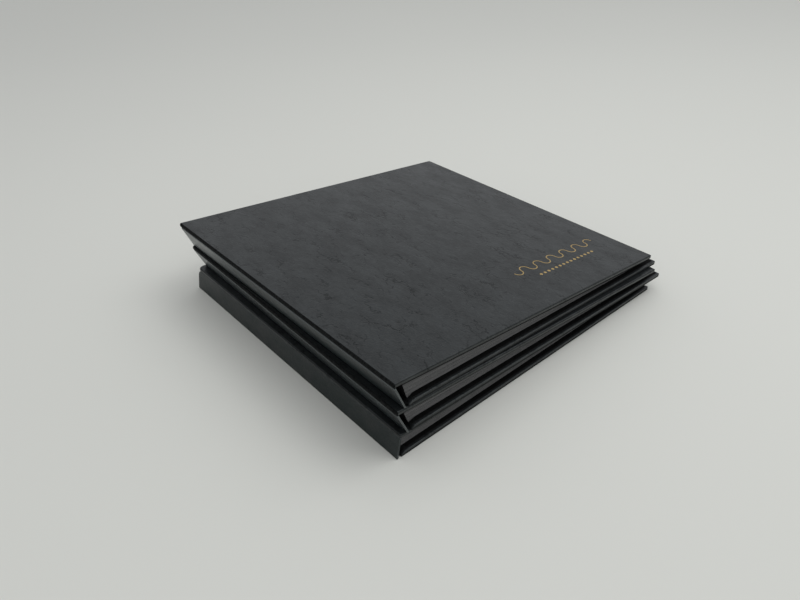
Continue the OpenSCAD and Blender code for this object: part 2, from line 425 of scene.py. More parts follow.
@dataclass(frozen=True)
class Leatherette(Finish):
    """Embossed, coated bookbinding leatherette: a cool black with faint mottling, short dark
    creases like a hide's and a fine pebble, whose satin coat pales at a low angle. Where shade is
    painted on it, it is nearly black and rough, and a paler highlight is painted on its crests.

    Args:
        pale: colour of the paler clouds.
        painted_highlight: colour of the highlight painted along the edges' crests.
        sunk: colour in the creases.
        flat: colour of the painted shade.
        cloud: size of the clouds, in millimetres.
        crease: spacing of the creases, in millimetres.
        wander: size of the noise that bends the creases, in millimetres.
        sway: how far it bends them, in millimetres.
        crinkle: size of the crinkles between the creases, in millimetres.
        pebble: size of the pebble, in millimetres. The real one is about 0.5 mm, too fine to
            show, so it is drawn coarser.
        relief: depth of the pebble, in millimetres.
        mottle: how much the coat's shine differs from place to place.
        creased: how deep the creases are, from 0 to 1.
    """

    pale: str = "#1a1d1e"
    painted_highlight: str = "#34383b"
    sunk: str = "#040505"
    flat: str = "#070808"
    cloud: float = 12.0
    crease: float = 13.0
    wander: float = 8.0
    sway: float = 11.0
    crinkle: float = 2.2
    pebble: float = 0.9
    relief: float = 0.05
    mottle: float = 0.17
    creased: float = 0.5

    def pattern(self, add: Adder, place: Socket) -> Inputs:
        """Clouds, creases, pebble, painted highlights on the edges and painted shade.

        Args:
            add: adds a node to the material.
            place: the coordinates.

        Returns:
            What goes into the shader.
        """
        long = add("Mapping", {0: place, "Rotation": (0.0, 0.0, 0.16), "Scale": (1.0, 0.5, 1.0)})
        clouds, crinkle = (
            add("TexNoise", {0: long, "Scale": per(size), "Detail": detail, "Roughness": rough})
            for size, detail, rough in ((self.cloud, 6.0, 0.68), (self.crinkle, 5.0, 0.66))
        )
        creases = self.creases(add, place)
        cells = {0: place, "Scale": per(self.pebble), "Smoothness": 0.6}
        pebble = add("TexVoronoi", cells, feature="SMOOTH_F1")
        # Painted light read from the mesh: a highlight along the edges' crests, and shade on the
        # inside, on shaded walls and in the fold joints.
        rub, matt = (
            add("Attribute", out="Fac", attribute_name=name) for name in ("rub", "matt")
        )

        cloudy = add("MapRange", {0: clouds, 1: 0.36, 2: 0.66}, **SMOOTH)
        dark = add("MapRange", {0: creases, 4: self.creased}, **SMOOTH)
        patchy = add("MapRange", {0: crinkle, 1: 0.4, 2: 0.62, 3: 0.05, 4: 0.35}, **SMOOTH)
        # worn is the share of painted highlight along a crest, in patches.
        worn = add("Math", {0: rub, 1: patchy}, **TIMES)
        layers = ((cloudy, self.pale), (dark, self.sunk), (worn, self.painted_highlight), (matt, self.flat))

        ends = {3: self.roughness + 0.05, 4: self.roughness - 0.04}
        gloss = add("MapRange", {0: clouds, 1: 0.3, 2: 0.7} | ends, **SMOOTH)
        shine = self.shine
        # The shine is uneven with the clouds and crinkles, and with the pebble, where it stands in
        # for the shade in the pebble's pits: painted shade.
        spreads = (
            (crinkle, 0.3, 0.7, self.mottle),
            (clouds, 0.3, 0.7, 0.4 * self.mottle),
            (pebble, 0.2, 0.8, 0.12),
        )
        for height, low, high, spread in spreads:
            uneven = add("MapRange", {0: height, 1: low, 2: high, 3: 1 - spread, 4: 1 + spread})
            shine = add("Math", {0: shine, 1: uneven}, **TIMES)
        shine = add("Mix", {0: dark, 2: shine, 3: 0.05})
        # The shine left where shade is painted, a little uneven with the pebble.
        painted_shade = add("MapRange", {0: pebble, 1: 0.25, 2: 0.75, 3: 0.06, 4: 0.22})

        normal = {}
        reliefs = (
            (pebble, self.relief, 1.0, False),
            (crinkle, 0.1, 0.8, False),
            (creases, 0.12, self.creased, True),
        )
        for height, depth, strength, invert in reliefs:
            bump = {"Strength": strength, "Distance": depth * MM, "Height": height}
            normal = {"Normal": add("Bump", bump | normal, invert=invert)}
        return normal | {
            "Base Color": self.layered(add, *layers),
            "Roughness": add("MapRange", {0: matt, 3: gloss, 4: 0.75}),
            "Specular IOR Level": add("MapRange", {0: matt, 3: shine, 4: painted_shade}),
            "Specular Tint": (0.93, 1.0, 1.0, 1.0),
        }

    def creases(self, add: Adder, place: Socket) -> Socket:
        """Short creases in two sizes, most of them along the spine.

        Args:
            add: adds a node to the material.
            place: the coordinates.

        Returns:
            1 in a crease and 0 beside it.
        """
        noise = {0: place, "Scale": per(self.wander), "Detail": 4.0, "Roughness": 0.62}
        warp = add("TexNoise", noise, "Color")
        depths = []
        for size, turn, stretch in ((1.0, 0.16, 0.42), (0.5, -0.6, 0.55)):
            shape = {"Rotation": (0.0, 0.0, turn), "Scale": (1.0, stretch, 1.0)}
            long = add("Mapping", {0: place} | shape)
            reach = (self.sway * MM * size,) * 3
            bent = add("VectorMath", {0: warp, 1: reach, 2: long}, **TIMES_PLUS)
            net = {0: bent, "Scale": per(self.crease * size)}
            cells = add("TexVoronoi", net, feature="DISTANCE_TO_EDGE")
            line = add("MapRange", {0: cells, 2: 0.05 / size**0.5, 3: 1.0, 4: 0.0}, **SMOOTH)
            where = add("TexNoise", {0: long, "Scale": per(11.0 * size), "Detail": 3.0})
            patch = add("MapRange", {0: where, 1: 0.5, 2: 0.6, 4: size**0.5}, **SMOOTH)
            depths.append(add("Math", {0: line, 1: patch}, **TIMES))
        return add("Math", dict(enumerate(depths)), **LARGER)


@dataclass(frozen=True)
class FibrePaper(Finish):
    """Uncoated paper or card: matt, with fibres that lie any way and a faint cloudy formation. A
    black sugar paper has next to no shine.

    Args:
        pale: colour of the paler fibres.
        fibre: length of a fibre clump, in millimetres.
        relief: depth of the felt mark, in millimetres.
        cloud: size of the formation's clouds, in millimetres.
    """

    pale: str = "#2b2b2c"
    fibre: float = 1.6
    relief: float = 0.03
    cloud: float = 11.0

    def pattern(self, add: Adder, place: Socket) -> Inputs:
        """Fibres in two directions and a cloudy formation.

        Args:
            add: adds a node to the material.
            place: the coordinates.

        Returns:
            What goes into the shader.
        """
        grains = []
        for turn in (0.35, -0.96):
            turned = add("Mapping", {0: place, "Rotation": (0.0, 0.0, turn)})
            long = add("Mapping", {0: turned, "Scale": (0.3, 1.4, 1.0)})
            noise = {"Scale": per(self.fibre), "Detail": 4.0, "Roughness": 0.65}
            grains.append(add("TexNoise", {0: long} | noise))
        felt = add("Math", dict(enumerate(grains)), **LARGER)
        cloud = add("TexNoise", {0: place, "Scale": per(self.cloud), "Detail": 2.0})
        both = add("Math", {0: cloud, 1: 0.35, 2: felt}, **TIMES_PLUS)
        share = add("MapRange", {0: both, 1: 0.55, 2: 0.95}, **SMOOTH)
        bump = {"Strength": 0.7, "Distance": self.relief * MM, "Height": felt}
        base = self.layered(add, (share, self.pale))
        return {"Base Color": base, "Normal": add("Bump", bump)}


@dataclass(frozen=True)
class CutEdges(Finish):
    """The guillotined edges of a bundle of card and film: long fine streaks, pale where a sheet's
    core shows and darker between the sheets. Close under the cover, shade is painted on them
    nearly black.

    Args:
        pale: colour of the palest sheets.
        dark: colour of the shade painted close under the cover.
        sheets: number of streaks through a leaf.
        rate: streaks in a metre along a leaf.
        blotch: size of the blotches, in millimetres.
        shade: depths under the cover, in millimetres, between which the painted shade ends.
    """

    pale: str = "#5c5c5c"
    dark: str = "#0d0d0d"
    sheets: float = 7.0
    rate: float = 14.0
    blotch: float = 5.0
    shade: tuple[float, float] = (3.5, 4.1)

    def pattern(self, add: Adder, place: Socket) -> Inputs:
        """Streaks that follow the leaf's own thickness, which its "level" attribute holds.

        Args:
            add: adds a node to the material.
            place: the coordinates.

        Returns:
            What goes into the shader.
        """
        level, under = (
            add("Attribute", out="Fac", attribute_name=name) for name in ("level", "under")
        )
        flat = add("Mapping", {0: place, "Scale": (self.rate, self.rate, 0.0)})
        rise = add("CombineXYZ", {2: level})
        along = add("VectorMath", {0: rise, 1: (0.0, 0.0, self.sheets), 2: flat}, **TIMES_PLUS)
        streak = add("TexNoise", {0: along, "Scale": 1.0, "Detail": 3.0, "Roughness": 0.55})
        blotch = add("TexNoise", {0: place, "Scale": per(self.blotch), "Detail": 3.0})
        both = add("Math", {0: blotch, 1: 0.25, 2: streak}, **TIMES_PLUS)
        share = add("MapRange", {0: both, 1: 0.42, 2: 0.82}, **SMOOTH)
        # Painted shade: close under the cover, the edges are painted dark and lose their shine.
        start, end = self.shade
        shade = add("MapRange", {0: under, 1: start, 2: end, 3: 1.0, 4: 0.0}, **SMOOTH)
        bump = {"Strength": 0.6, "Distance": 0.08 * MM, "Height": streak}
        return {
            "Base Color": self.layered(add, (share, self.pale), (shade, self.dark)),
            "Specular IOR Level": add("MapRange", {0: shade, 3: self.shine, 4: 0.05}),
            "Normal": add("Bump", bump),
        }


@dataclass(frozen=True)
class HotFoil(Finish):
    """Metallised film pressed into the leatherette with a hot die: a pale gold that thins where the
    grain beneath it is deep.

    Args:
        worn: colour where the film is thin.
        grain: size of the thin spots, in millimetres.
    """

    worn: str = "#7d6a42"
    grain: float = 0.8

    def pattern(self, add: Adder, place: Socket) -> Inputs:
        """Thin spots and the grain that shows through the film.

        Args:
            add: adds a node to the material.
            place: the coordinates.

        Returns:
            What goes into the shader.
        """
        grain = add("TexNoise", {0: place, "Scale": per(self.grain), "Detail": 3.0})
        thin = add("MapRange", {0: grain, 1: 0.52, 2: 0.72, 4: 0.8}, **SMOOTH)
        bump = {"Strength": 0.5, "Distance": 0.05 * MM, "Height": grain}
        base = self.layered(add, (thin, self.worn))
        return {"Base Color": base, "Normal": add("Bump", bump)}


@dataclass(frozen=True)
class ClearFilm(Finish):
    """Clear polyester pocket film: colourless and glossy, with faint rollers' haze.

    Args:
        haze: how much rougher the hazy bands are.
        band: spacing of the bands, in millimetres.
    """

    haze: float = 0.12
    band: float = 8.0

    def pattern(self, add: Adder, place: Socket) -> Inputs:
        """Hazy bands along the strips.

        Args:
            add: adds a node to the material.
            place: the coordinates.

        Returns:
            What goes into the shader.
        """
        long = add("Mapping", {0: place, "Scale": (0.05, 1.0, 1.0)})
        bands = add("TexNoise", {0: long, "Scale": per(self.band), "Detail": 2.0})
        ends = {3: self.roughness, 4: self.roughness + self.haze}
        gloss = add("MapRange", {0: bands, 1: 0.3, 2: 0.7} | ends, **SMOOTH)
        return {"Transmission Weight": 1.0, "Roughness": gloss}


@dataclass(frozen=True)
class Sweep(Finish):
    """The pale painted table that the albums stand on: even and matt, with a faint drift of tone.

    Args:
        dull: the colour that it drifts towards.
    """

    dull: str = "#b9bab5"

    def pattern(self, add: Adder, place: Socket) -> Inputs:
        """A slow drift of tone across the table.

        Args:
            add: adds a node to the material.
            place: the coordinates.

        Returns:
            What goes into the shader.
        """
        drift = add("TexNoise", {0: place, "Scale": 1.6, "Detail": 1.0})
        share = add("MapRange", {0: drift, 1: 0.3, 2: 0.7, 4: 0.05}, **SMOOTH)
        return {"Base Color": self.layered(add, (share, self.dull))}


LEATHERETTE = Leatherette("Leatherette", "#111314", 0.33, shine=0.45)
# Lit and shaded copies of one leatherette for the spine strips: painted lighter and shinier where a
# strip leans out, darker where it stands upright.
LIT_SPINE_LEATHERETTE = Leatherette(
    "Leaning_Spine_Leatherette", "#1f2729", 0.32,
    pale="#2a2d2e", shine=1.0, mottle=0.08, creased=0.08,
)
# Painted shade for the upright strip and the fold joints, with a bright highlight painted along the
# strip's crests.
SHADED_SPINE_LEATHERETTE = Leatherette(
    "Upright_Spine_Leatherette", "#081415", 0.36,
    painted_highlight="#989c9e", shine=0.4, mottle=0.06, creased=0.05,
)
BLACK_PAPER = FibrePaper("Black_Paper", "#070707", 0.95, pale="#111111", shine=0.08)
BLACK_CARD = FibrePaper("Black_Card", "#030303", 0.95, pale="#080808", shine=0.08)
LEAF_CARD = FibrePaper("Leaf_Card", "#101010", 0.8, pale="#1c1b1a", fibre=1.1)
CUT_EDGES = CutEdges("Cut_Leaf_Edges", "#454545", 0.7)
GREYBOARD = FibrePaper("Greyboard", "#6f6a61", 0.9, pale="#8b8579", fibre=2.4, relief=0.06)
GOLD_FOIL = HotFoil("Gold_Foil", "#c9ae74", 0.38, metallic=1.0)
FILM = ClearFilm("Pocket_Film", "#ffffff", 0.06)
SWEEP = Sweep("Painted_Table", "#d5d6d0", 0.8, shine=0.2)


# ---------------------------------------------------------------- workbench


def clear_selection() -> None:
    """Leaves edit mode and deselects every object."""
    if bpy.context.mode != "OBJECT":
        bpy.ops.object.mode_set(mode="OBJECT")
    bpy.ops.object.select_all(action="DESELECT")


def choose(*objects: Piece) -> None:
    """Selects these objects alone and makes the first one active.

    Args:
        objects: the objects.
    """
    clear_selection()
    for obj in objects:
        obj.select_set(True)
    bpy.context.view_layer.objects.active = objects[0]


@contextmanager
def editing(obj: Piece) -> Iterator[Piece]:
    """Holds an object in edit mode.

    Args:
        obj: the object.

    Returns:
        The object, until the block ends.
    """
    choose(obj)
    bpy.ops.object.mode_set(mode="EDIT")
    yield obj
    bpy.ops.object.mode_set(mode="OBJECT")


def pick(obj: Piece, kind: Pick, test: Callable[[list[Vector]], bool]) -> None:
    """Selects the points, edges or faces whose corners pass a test, and nothing else.

    Args:
        obj: the object in edit mode.
        kind: what to select.
        test: takes the corners of one of them.
    """
    bpy.ops.mesh.select_all(action="DESELECT")
    bpy.context.tool_settings.mesh_select_mode = tuple(kind is k for k in Pick)
    mesh = bmesh.from_edit_mesh(obj.data)
    groups = {Pick.POINTS: mesh.verts, Pick.EDGES: mesh.edges, Pick.FACES: mesh.faces}
    for element in groups[kind]:
        corners = [element.co] if kind is Pick.POINTS else [v.co for v in element.verts]
        if test(corners):
            element.select_set(True)
    mesh.select_flush_mode()
    bmesh.update_edit_mesh(obj.data)


def named(name: str) -> Piece:
    """Names the primitive just added, and applies its place and size to its mesh.

    Args:
        name: the piece's name.

    Returns:
        The piece.
    """
    obj = bpy.context.object
    obj.name = obj.data.name = name
    bpy.ops.object.transform_apply()
    return obj


def add_block(name: str, low: Sequence[float], high: Sequence[float]) -> Piece:
    """Adds a block between two corners, with its size in its mesh.

    Args:
        name: the piece's name.
        low: its lowest corner.
        high: its highest corner.

    Returns:
        The block.
    """
    clear_selection()
    low, high = Vector(low), Vector(high)
    bpy.ops.mesh.primitive_cube_add(size=1.0, location=(low + high) / 2, scale=high - low)
    return named(name)


def apply_modifier(obj: Piece, kind: str, **settings: object) -> None:
    """Adds a modifier with its settings and applies it.

    Args:
        obj: the object.
        kind: the modifier's type.
        settings: its properties.
    """
    choose(obj)
    made = obj.modifiers.new(kind.title(), kind)
    for key, value in settings.items():
        setattr(made, key, value)
    bpy.ops.object.modifier_apply(modifier=made.name)


def soften(obj: Piece, degrees: float = 40.0) -> None:
    """Shades an object smooth except at edges sharper than an angle, with flat faces kept flat.

    Args:
        obj: the object.
        degrees: the angle.
    """
    choose(obj)
    bpy.ops.object.shade_smooth_by_angle(angle=math.radians(degrees))
    apply_modifier(obj, "WEIGHTED_NORMAL", keep_sharp=True, weight=80)


def put(obj: Piece, place: Matrix) -> None:
    """Puts an object made in millimetres in its place, in metres, with the place in its mesh.

    Args:
        obj: the object.
        place: its place, in millimetres.
    """
    choose(obj)
    obj.matrix_world = Matrix.Scale(MM, 4) @ place
    bpy.ops.object.transform_apply()


def joined(name: str, parts: list[Piece]) -> Piece:
    """Joins objects to one with a name.

    Args:
        name: the name.
        parts: the objects.

    Returns:
        The object.
    """
    choose(*parts)
    bpy.ops.object.join()
    parts[0].name = parts[0].data.name = name
    return parts[0]


def write_attribute(obj: Piece, name: str, rule: Callable[[Vector], float]) -> None:
    """Writes a number on each point of a mesh, from where the point is."""
    made = obj.data.attributes.new(name, "FLOAT", "POINT")
    made.data.foreach_set("value", [rule(v.co) for v in obj.data.vertices])


def sheet_along(name: str, path: Sequence[Vector], width: float, thick: float) -> Piece:
    """Makes a sheet by extruding an edge along a path in x and z, and thickens it.

    Args:
        name: the piece's name.
        path: points that the sheet's middle follows, with y = 0.
        width: the sheet's size along y, from y = 0.
        thick: its thickness.

    Returns:
        The sheet.
    """
    clear_selection()
    bpy.ops.mesh.primitive_plane_add(size=1.0, location=(0.5, 0.5, 0.0))
    obj = named(name)
    with editing(obj):
        for near, goal in ((0.0, path[0]), (1.0, path[1])):
            for side in (0.0, 1.0):
                own = Vector((near, side, 0.0))
                pick(obj, Pick.POINTS, lambda c, o=own: (c[0] - o).length < NEAR)
                move = Vector((goal.x - near, side * (width - 1.0), goal.z))
                bpy.ops.transform.translate(value=move)
        for start, goal in zip(path[1:], path[2:]):
            pick(
                obj, Pick.EDGES,
                lambda c, s=start: all(math.hypot(p.x - s.x, p.z - s.z) < NEAR for p in c),
            )
            bpy.ops.mesh.extrude_region_move(TRANSFORM_OT_translate={"value": goal - start})
        bpy.ops.mesh.select_all(action="SELECT")
        bpy.ops.mesh.remove_doubles(threshold=NEAR)
        bpy.ops.mesh.normals_make_consistent(inside=False)
    apply_modifier(obj, "SOLIDIFY", thickness=thick, offset=0.0)
    return obj


# ---------------------------------------------------------------- wrapped boards


@dataclass(frozen=True)
class WrappedBoard:
    """A board covered with leatherette that is turned over its edges. Its face is z = high.z.

    Args:
        low: lowest corner, in millimetres.
        high: highest corner.
        edge: rounding of the edges.
        turn_in: width of the leatherette on the inside, from low.x, high.x and the two ends.
        wall: thickness of the leatherette.
        heel: width and height of a longer rounding of the inside edge at the spine.
        corner: rounding, seen from outside, of a corner at the head: its x end and its radius.
        bow: how far the middle of each long edge stands out of the face's plane.
        painted_shade: whether shade is painted on the wall at the spine, where the strip's shoulder
            overhangs it.
        dull: how much shade is painted on a wall, at depths under the outer face, where it is made
        rougher too: dark lines under the crest and where the wall meets the next surface.
        lip: width of the shiny rim of the inside face.
        cuts: number of even strips that a face is cut to.
        fade: width of the change from a shiny edge to the shade painted on the wall at the spine.
        reach: distance over which a long edge bows.
        fall: how steeply the painted highlight falls off beside an edge's crest.
        level: share of the rounding past which a point lies on a face, and gets no painted
            highlight.
    """

    low: tuple[float, float, float]
    high: tuple[float, float, float]
    edge: float
    turn_in: tuple[float, float, float]
    wall: float
    heel: tuple[float, float] | None = None
    corner: tuple[float, float] | None = None
    bow: float = 0.0
    painted_shade: bool = False
    dull: tuple[tuple[float, float], ...] = ((0.0, 0.0),)
    lip: float = 2.4
    cuts: int = 8
    fade: float = 0.3
    reach: float = 115.0
    fall: float = 1.6
    level: float = 0.98

    def build(self, name: str) -> Piece:
        """Makes the hollow wrapped board, in millimetres.

        Args:
            name: the piece's name.

        Returns:
            The board.
        """
        obj = add_block(name, self.low, self.high)
        with editing(obj):
            if self.heel:
                self.round_heel(obj, *self.heel)
            if self.corner:
                end, radius = self.corner
                pick(
                    obj, Pick.EDGES,
                    lambda c: all(abs(p.x - end) < NEAR and p.y > self.high[1] - NEAR for p in c),
                )
                bpy.ops.mesh.bevel(offset=radius, segments=4)
            bpy.context.tool_settings.mesh_select_mode = (False, True, False)
            bpy.ops.mesh.select_all(action="DESELECT")
            bpy.ops.mesh.edges_select_sharp(sharpness=math.radians(35))
            bpy.ops.mesh.bevel(offset=self.edge, segments=5, clamp_overlap=True)
            self.cut(obj)
            self.open_inside(obj)
        # Painted light carried on the points: a highlight along the crests, and shade on the inside
        # and on the walls.
        write_attribute(obj, "rub", self.rub)
        write_attribute(obj, "matt", self.matt)
        if self.bow:
            self.warp(obj)
        apply_modifier(obj, "SOLIDIFY", thickness=self.wall, offset=-1.0)
        return obj

    def round_heel(self, obj: Piece, width: float, height: float) -> None:
        """Rounds the inside edge at the spine to a quarter of an ellipse.

        Args:
            obj: the block in edit mode.
            width: the rounding's width.
            height: its height.
        """
        stretch, middle = width / height, (0.0, 0.0, 0.0)
        bpy.ops.mesh.select_all(action="SELECT")
        bpy.ops.transform.resize(value=(1.0, 1.0, stretch), center_override=middle)
        foot = self.low[2] * stretch
        pick(
            obj, Pick.EDGES,
            lambda c: all(p.x < self.low[0] + NEAR and p.z < foot + NEAR for p in c),
        )
        bpy.ops.mesh.bevel(offset=width, segments=8)
        bpy.ops.mesh.select_all(action="SELECT")
        bpy.ops.transform.resize(value=(1.0, 1.0, 1 / stretch), center_override=middle)

    def window(self) -> tuple[float, float, float, float]:
        """The opening inside the turned-in leatherette: low x, high x, low y, high y."""
        spine, fore, ends = self.turn_in
        return self.low[0] + spine, self.high[0] - fore, self.low[1] + ends, self.high[1] - ends

    def cut(self, obj: Piece) -> None:
        """Cuts the faces across, at the opening's edges and at even steps.

        Args:
            obj: the block in edit mode.
        """
        left, right, foot, head = self.window()
        for axis, ends in ((0, (left, right)), (1, (foot, head))):
            span = ends[1] - ends[0]
            steps = [ends[0] + span * i / self.cuts for i in range(self.cuts + 1)]
            steps += [self.low[axis] + self.lip, self.high[axis] - self.lip]
            for step in steps:
                centre, normal = Vector(), Vector()
                centre[axis], normal[axis] = step, 1.0
                bpy.ops.mesh.select_all(action="SELECT")
                bpy.ops.mesh.bisect(plane_co=centre, plane_no=normal)

    def open_inside(self, obj: Piece) -> None:
        """Takes out the inside face within the turned-in leatherette.

        Args:
            obj: the block in edit mode.
        """
        left, right, foot, head = self.window()
        pick(
            obj, Pick.FACES,
            lambda c: all(
                left - NEAR < p.x < right + NEAR
                and foot - NEAR < p.y < head + NEAR
                and p.z < self.low[2] + NEAR
                for p in c
            ),
        )
        bpy.ops.mesh.delete(type="FACE")

    def rub(self, point: Vector) -> float:
        """How much highlight is painted on a point: 1 on the crest of a rounded edge, 0 on the
        faces.

        Args:
            point: the point.

        Returns:
            How much highlight is painted on it.
        """
        away = sorted(
            min(point[i] - self.low[i], self.high[i] - point[i]) / self.edge for i in range(3)
        )
        if away[1] > self.level:
            return 0.0
        return max(0.0, 1.0 - self.fall * abs(away[0] - away[1]))

    def matt(self, point: Vector) -> float:
        """How much shade is painted on a point, where it is also made rough: 1 on the inside face
        and on a shaded wall at the spine, 0 on the outer face.

        Args:
            point: the point.

        Returns:
            How much shade is painted on it.
        """
        depth = self.high[2] - point.z
        from_ends = min(point.y - self.low[1], self.high[1] - point.y)
        from_sides = min(point.x - self.low[0], self.high[0] - point.x)
        rim = self.edge - NEAR
        if depth < NEAR:
            return 0.0
        if self.heel and point.x < self.low[0] + self.heel[0] and depth > rim:
            return float(from_ends > rim)
        if depth > rim and min(from_ends, from_sides) > self.lip - NEAR:
            return 1.0
        if self.painted_shade and point.x < self.low[0] + rim:
            return min(1.0, (self.low[0] + self.edge - point.x) / self.fade)
        for (over, high), (under, low) in zip(self.dull, self.dull[1:]):
            if over <= depth <= under + NEAR:
                return high + (low - high) * (depth - over) / (under - over)
        return 0.0

    def warp(self, obj: Piece) -> None:
        """Lifts the middle of the tail and head edges a little, as a wrapped board warps.

        Args:
            obj: the board.
        """
        middle = (self.low[0] + self.high[0]) / 2
        for end in (self.low[1], self.high[1]):
            with editing(obj):
                pick(
                    obj, Pick.POINTS,
                    lambda c, e=end: abs(c[0].x - middle) < 1.0 and abs(c[0].y - e) < 2 * self.edge,
                )
                bpy.ops.transform.translate(
                    value=(0.0, 0.0, self.bow),
                    use_proportional_edit=True,
                    proportional_size=self.reach,
                )


# ---------------------------------------------------------------- sub-assemblies


# Shade painted on the covers' walls, which are made rough there too, at depths under the outer
# face in millimetres: dark lines under the crest and where a wall meets the next surface.
FRONT_WALL_SHADE = (
    (0.0, 0.0), (0.2, 0.3), (0.45, 0.75), (0.75, 0.25),
    (1.05, 0.0), (1.95, 0.1), (2.4, 0.8), (3.0, 1.0),
)
BACK_WALL_SHADE = ((0.0, 1.0), (0.5, 1.0), (0.75, 0.9), (1.05, 0.3), (1.95, 0.4), (2.3, 0.0), (3.0, 0.0))


@dataclass(frozen=True)
class CoverAssembly:
    """One cover: the leatherette skin, its grey board, its black pastedown and its foil.

    Args:
        album: the album.
        side: which cover.
        edge: rounding of the skin's edges.
        wall: thickness of the leatherette.
        turn_in: width of the leatherette on the inside, at three edges.
        at_spine: the same at the spine, of the back and the front cover.
        heel: width and height of the back cover's longer rounding at the spine.
        bow: how far the middle of the front cover's long edges stands out.
    """

    album: Album
    side: Side
    edge: float = 1.05
    wall: float = 0.38
    turn_in: float = 15.0
    at_spine: tuple[float, float] = (13.0, 10.3)
    heel: tuple[float, float] = (5.5, 2.45)
    bow: float = 0.35

    def build(self) -> list[Piece]:
        """Makes the skin and dresses the cover's other pieces.

        Returns:
            The pieces.
        """
        side = self.side.value
        front = self.side is Side.FRONT
        start = 0.0 if front else CASE.joint
        wrapped = WrappedBoard(
            low=(start, 0.0, -CASE.cover),
            high=(CASE.width, CASE.height, 0.0),
            edge=self.edge,
            turn_in=(self.at_spine[front], self.turn_in, self.turn_in),
            wall=self.wall,
            heel=None if front else self.heel,
            corner=(start, self.album.slump) if front and self.album.slump else None,
            bow=self.bow if front else 0.0,
            painted_shade=front and self.album.leans(),
            dull=FRONT_WALL_SHADE if front else BACK_WALL_SHADE,
        )
        skin = wrapped.build(self.album.piece(f"{side}_skin"))
        soften(skin)
        put(skin, self.album.front() if front else self.album.back())
        LEATHERETTE.dress(skin)
        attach(skin, self.album.piece(f"{side}_cover"))
        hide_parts(self.album.piece(f"{side}_leatherette"))
        board = GREYBOARD.dress(self.album.node(f"{side}_board"))
        pastedown = BLACK_PAPER.dress(self.album.node(f"{side}_pastedown"))
        foil = [GOLD_FOIL.dress(self.album.node("foil_ornament"))] if front else []
        return [skin, board, pastedown, *foil]


@dataclass(frozen=True)
class SpineAssembly:
    """The spine: a leatherette strip round a thin card, and its lining.

    Args:
        album: the album.
        face: height of the strip's outer face over the line between the folds.
        inside: depth of its inner face under that line.
        edge: rounding of its edges.
        wall: thickness of the leatherette.
        turn_in: width of the leatherette on the inside: back fold, front fold, ends.
        card: thickness of the card.
        card_in: distances from the card's sides to the strip's, in the same order.
        card_edge: rounding of the card's edges.
        lining: thickness of the lining.
        lining_in: distances from the lining's sides to the strip's.
        lining_edge: rounding of the lining's edges.
        spread: how much larger the strip's crushed corner is than the cover's.
    """

    album: Album
    face: float = 0.75
    inside: float = 0.55
    edge: float = 0.55
    wall: float = 0.32
    turn_in: tuple[float, float, float] = (5.0, 5.0, 12.0)
    card: float = 0.55
    card_in: tuple[float, float, float] = (0.6, 0.9, 2.5)
    card_edge: float = 0.1
    lining: float = 0.2
    lining_in: tuple[float, float, float] = (1.0, 1.1, 1.2)
    lining_edge: float = 0.06
    spread: float = 1.2

    def build(self) -> list[Piece]:
        """Makes the strip, its card and its lining.

        Returns:
            The pieces.
        """
        end = self.album.spine_run().length - self.album.shoulder
        strip = WrappedBoard(
            low=(-CASE.roll, 0.0, -self.inside),
            high=(end, CASE.height, self.face),
            edge=self.edge,
            turn_in=self.turn_in,
            wall=self.wall,
            corner=(end, self.album.slump * self.spread) if self.album.slump else None,
        )
        skin = strip.build(self.album.piece("spine_skin"))
        soften(skin)
        put(skin, self.album.strip())
        # A leaning strip takes the lit copy of the leatherette and an upright one the shaded copy:
        # painted light and shade.
        (LIT_SPINE_LEATHERETTE if self.album.leans() else SHADED_SPINE_LEATHERETTE).dress(skin)
        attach(skin, self.album.piece("spine"))
        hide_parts(self.album.piece("spine_leatherette"))

        middle = (self.face - self.inside) / 2
        near, far, ends = self.card_in
        card = add_block(
            self.album.piece("spine_stiffener"),
            (near, ends, middle - self.card / 2),
            (end - far, CASE.height - ends, middle + self.card / 2),
        )
        self.finish(card, GREYBOARD, self.card_edge, "spine_card", "greyboard")
        near, far, ends = self.lining_in
        lining = add_block(
            self.album.piece("spine_inner_lining"),
            (near, ends, -self.inside - self.lining),
            (end - far, CASE.height - ends, -self.inside),
        )
        self.finish(lining, BLACK_PAPER, self.lining_edge, "spine_lining", "black_paper")
        return [skin, card, lining]

    def finish(self, obj: Piece, finish: Finish, edge: float, node: str, slot: str) -> None:
        """Rounds a flat part of the strip, places it and dresses it.

        Args:
            obj: the part, in the strip's frame.
            finish: its finish.
            edge: rounding of its edges.
            node: the node that it stands for.
            slot: not used.
        """
        with editing(obj):
            bpy.ops.mesh.select_all(action="SELECT")
            bpy.ops.mesh.bevel(offset=edge, segments=2)
        soften(obj)
        put(obj, self.album.strip())
        finish.dress(obj)
        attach(obj, self.album.piece("spine"))
        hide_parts(self.album.piece(node))


